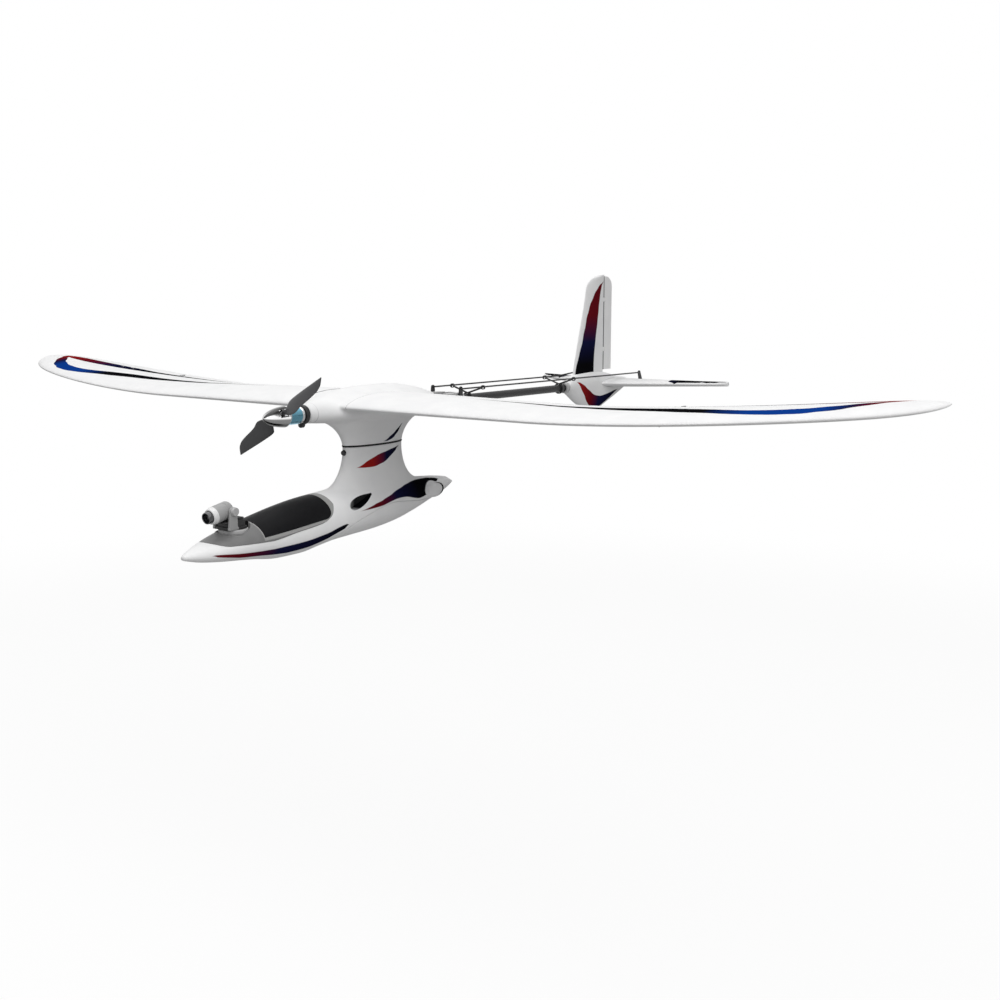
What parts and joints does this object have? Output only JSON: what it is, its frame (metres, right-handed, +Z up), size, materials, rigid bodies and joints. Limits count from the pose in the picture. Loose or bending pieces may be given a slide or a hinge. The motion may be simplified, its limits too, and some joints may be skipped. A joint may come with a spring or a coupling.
{
  "type": "radio-controlled camera glider",
  "caption": "Powered camera glider: nose camera on a pod, slim pylon, tractor folding propeller, long wing with upswept tips, tail boom, fin and swept tailplane.",
  "frame": {"origin": "centre of the bounding box on the surface that the belly rests on", "axes": "+X along the left wing, -Y towards the nose, +Z up"},
  "size_m": [0.9994, 0.7232, 0.241],
  "materials": {
    "white_foam": "satin",
    "white_plastic": "satin",
    "grey_plastic": "satin",
    "black_canopy": "satin",
    "black_plastic": "satin",
    "black_rubber": "matte",
    "carbon": "satin",
    "aluminium": "satin",
    "steel": "satin",
    "blue_anodised": "satin",
    "windings": "satin",
    "blade_grey": "satin",
    "light_plastic": "satin",
    "dark_tray": "satin",
    "battery_wrap": "gloss",
    "circuit_board": "satin"
  },
  "bodies": {
    "airframe": {"aileron_servo_left": "black_plastic", "aileron_servo_right": "black_plastic", "air_intake_left": "black_plastic", "air_intake_right": "black_plastic", "battery": "battery_wrap", "battery_strap": "black_rubber", "belly_panel": "white_foam", "boom_collar_front": "light_plastic", "boom_collar_rear": "light_plastic", "cockpit_frame": "grey_plastic", "elevator_servo": "black_plastic", "fin": "white_foam", "flight_board": "circuit_board", "motor_mount": "black_plastic", "motor_stator": "windings", "nacelle": "white_foam", "pod_shell": "white_foam", "pylon_gasket": "black_rubber", "pylon_screw": "steel", "rod_guide_front": "black_plastic", "rod_guide_rear": "black_plastic", "rudder_servo": "black_plastic", "servo_tray": "dark_tray", "speed_controller": "black_plastic", "tail_boom": "carbon", "tail_fairing": "white_foam", "tailplane": "white_foam", "video_transmitter": "aluminium", "wing_joiner": "carbon", "wing_left": "white_foam", "wing_right": "white_foam"},
    "canopy": {"canopy_hatch": "black_canopy"},
    "camera_pan": {"camera_turntable": "light_plastic", "camera_yoke": "black_plastic"},
    "camera_tilt": {"camera_body": "white_plastic", "camera_lens": "black_plastic", "tilt_screw": "black_plastic"},
    "propeller": {"motor_bell": "blue_anodised", "prop_shaft": "steel", "prop_hub": "aluminium", "spinner": "aluminium"},
    "upper_blade": {"blade_upper": "blade_grey"},
    "lower_blade": {"blade_lower": "blade_grey"},
    "left_aileron": {"aileron_left": "white_foam", "aileron_horn_left": "black_plastic"},
    "right_aileron": {"aileron_right": "white_foam", "aileron_horn_right": "black_plastic"},
    "left_aileron_arm": {"aileron_arm_left": "black_plastic"},
    "right_aileron_arm": {"aileron_arm_right": "black_plastic"},
    "left_aileron_rod": {"aileron_rod_left": "steel"},
    "right_aileron_rod": {"aileron_rod_right": "steel"},
    "elevator_surface": {"elevator": "white_foam", "elevator_horn": "black_plastic"},
    "elevator_servo_arm": {"elevator_arm": "light_plastic"},
    "elevator_pushrod": {"elevator_rod": "carbon"},
    "rudder_surface": {"rudder": "white_foam", "rudder_horn": "black_plastic"},
    "rudder_servo_arm": {"rudder_arm": "light_plastic"},
    "rudder_pushrod": {"rudder_rod": "carbon"}
  },
  "joints": [
    {"name": "canopy_lift", "type": "slide", "parent": "airframe", "child": "canopy", "axis": [0, 0, 1], "range_m": [0, 0.012]},
    {"name": "camera_pan_turn", "type": "hinge", "parent": "airframe", "child": "camera_pan", "pos_m": [0, -0.308, 0.0253], "axis": [0, 0, 1], "range_deg": [-50, 50]},
    {"name": "camera_tilt_turn", "type": "hinge", "parent": "camera_pan", "child": "camera_tilt", "pos_m": [0, -0.3165, 0.0452], "axis": [1, 0, 0], "range_deg": [-35, 12]},
    {"name": "propeller_spin", "type": "hinge", "parent": "airframe", "child": "propeller", "pos_m": [0, -0.2566, 0.115], "axis": [0, 1, 0], "continuous": true},
    {"name": "upper_blade_fold", "type": "hinge", "parent": "propeller", "child": "upper_blade", "pos_m": [0.00647, -0.2566, 0.11859], "axis": [-0.4848, 0, 0.8746], "range_deg": [0, 42]},
    {"name": "lower_blade_fold", "type": "hinge", "parent": "propeller", "child": "lower_blade", "pos_m": [-0.00647, -0.2566, 0.11141], "axis": [0.4848, 0, -0.8746], "range_deg": [0, 42]},
    {"name": "left_aileron_hinge", "type": "hinge", "parent": "airframe", "child": "left_aileron", "pos_m": [0.2825, -0.10571, 0.1285], "axis": [0.9985, -0.0052, 0.0542], "range_deg": [-20, 20]},
    {"name": "right_aileron_hinge", "type": "hinge", "parent": "airframe", "child": "right_aileron", "pos_m": [-0.2825, -0.10571, 0.1285], "axis": [0.9985, 0.0052, -0.0542], "range_deg": [-20, 20]},
    {"name": "left_aileron_arm_turn", "type": "hinge", "parent": "airframe", "child": "left_aileron_arm", "pos_m": [0.2913, -0.143, 0.12684], "axis": [1, 0, 0], "range_deg": [-20, 20]},
    {"name": "right_aileron_arm_turn", "type": "hinge", "parent": "airframe", "child": "right_aileron_arm", "pos_m": [-0.2913, -0.143, 0.12684], "axis": [1, 0, 0], "range_deg": [-20, 20]},
    {"name": "left_aileron_rod_turn", "type": "hinge", "parent": "left_aileron_arm", "child": "left_aileron_rod", "pos_m": [0.2913, -0.143, 0.11884], "axis": [1, 0, 0], "range_deg": [-20, 20]},
    {"name": "right_aileron_rod_turn", "type": "hinge", "parent": "right_aileron_arm", "child": "right_aileron_rod", "pos_m": [-0.2913, -0.143, 0.11884], "axis": [1, 0, 0], "range_deg": [-20, 20]},
    {"name": "elevator_hinge", "type": "hinge", "parent": "airframe", "child": "elevator_surface", "pos_m": [0, 0.3312, 0.1168], "axis": [1, 0, 0], "range_deg": [-20, 20]},
    {"name": "elevator_arm_turn", "type": "hinge", "parent": "airframe", "child": "elevator_servo_arm", "pos_m": [0.0162, -0.0256, 0.1168], "axis": [1, 0, 0], "range_deg": [-20, 20]},
    {"name": "elevator_rod_turn", "type": "hinge", "parent": "elevator_servo_arm", "child": "elevator_pushrod", "pos_m": [0.0162, -0.0256, 0.1268], "axis": [1, 0, 0], "range_deg": [-20, 20]},
    {"name": "rudder_hinge", "type": "hinge", "parent": "airframe", "child": "rudder_surface", "pos_m": [0, 0.2742, 0.1322], "axis": [0, 0, 1], "range_deg": [-20, 20]},
    {"name": "rudder_arm_turn", "type": "hinge", "parent": "airframe", "child": "rudder_servo_arm", "pos_m": [-0.0162, -0.0256, 0.1168], "axis": [1, 0, 0], "range_deg": [-24, 24]},
    {"name": "rudder_rod_turn", "type": "hinge", "parent": "rudder_servo_arm", "child": "rudder_pushrod", "pos_m": [-0.0162, -0.0256, 0.1268], "axis": [1, 0, 0], "range_deg": [-24, 24]}
  ],
  "couplings": [
    {"joint": "right_aileron_hinge", "follows": "left_aileron_hinge", "ratio": -1},
    {"joint": "left_aileron_arm_turn", "follows": "left_aileron_hinge", "ratio": 1},
    {"joint": "left_aileron_rod_turn", "follows": "left_aileron_hinge", "ratio": -1},
    {"joint": "right_aileron_arm_turn", "follows": "left_aileron_hinge", "ratio": -1},
    {"joint": "right_aileron_rod_turn", "follows": "left_aileron_hinge", "ratio": 1},
    {"joint": "elevator_arm_turn", "follows": "elevator_hinge", "ratio": 1},
    {"joint": "elevator_rod_turn", "follows": "elevator_hinge", "ratio": -1},
    {"joint": "rudder_arm_turn", "follows": "rudder_hinge", "ratio": 1.2},
    {"joint": "rudder_rod_turn", "follows": "rudder_hinge", "ratio": -1.2}
  ]
}
